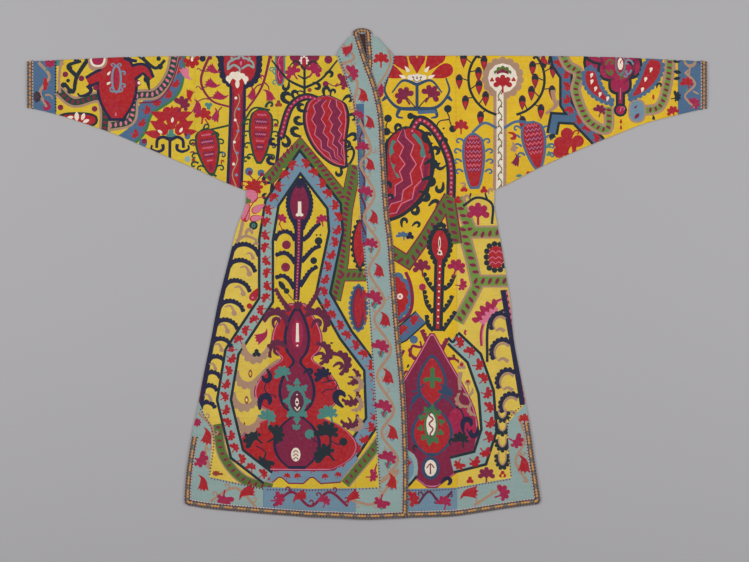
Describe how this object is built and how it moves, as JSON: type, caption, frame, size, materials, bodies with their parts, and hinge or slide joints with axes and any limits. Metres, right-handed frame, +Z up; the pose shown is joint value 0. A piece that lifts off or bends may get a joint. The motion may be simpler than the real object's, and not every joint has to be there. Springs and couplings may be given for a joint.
{
  "type": "chapan robe",
  "caption": "Long open-fronted Uzbek chapan coat in all-over coloured silk embroidery, with wide tapering sleeves and braid-bound edges, laid out flat on its back.",
  "frame": {"origin": "on the ground under the middle of the coat's overall plan (bounding box bottom centre)", "axes": "+X across the coat towards its right-hand picture side (the wearer's left sleeve), +Y up the coat towards the neck, +Z up off the ground"},
  "size_m": [1.728, 1.2473, 0.0122],
  "materials": {
    "embroidered_cloth": "counted silk cross-stitch over cotton, soft sheen",
    "embroidered_band": "counted silk cross-stitch over cotton, soft sheen",
    "woven_braid": "narrow woven silk braid"
  },
  "bodies": {
    "root": {"body_left": "embroidered_cloth", "body_right": "embroidered_cloth", "wedge_left": "embroidered_band", "wedge_right": "embroidered_band", "gore_front_left": "embroidered_cloth", "gore_front_right": "embroidered_cloth", "gore_back_left": "embroidered_cloth", "gore_back_right": "embroidered_cloth", "sleeve_upper_left": "embroidered_cloth", "sleeve_upper_right": "embroidered_cloth", "sleeve_lower_left": "embroidered_cloth", "sleeve_lower_right": "embroidered_cloth", "cuff_left": "embroidered_band", "cuff_right": "embroidered_band", "neckband_left": "embroidered_band", "neckband_right": "embroidered_band", "neckband_back": "embroidered_band", "braid_left": "woven_braid", "braid_right": "woven_braid", "braid_back": "woven_braid", "braid_neck": "woven_braid", "cuff_braid_left": "woven_braid", "cuff_braid_right": "woven_braid", "cuff_knot_left": "woven_braid"}
  },
  "joints": []
}
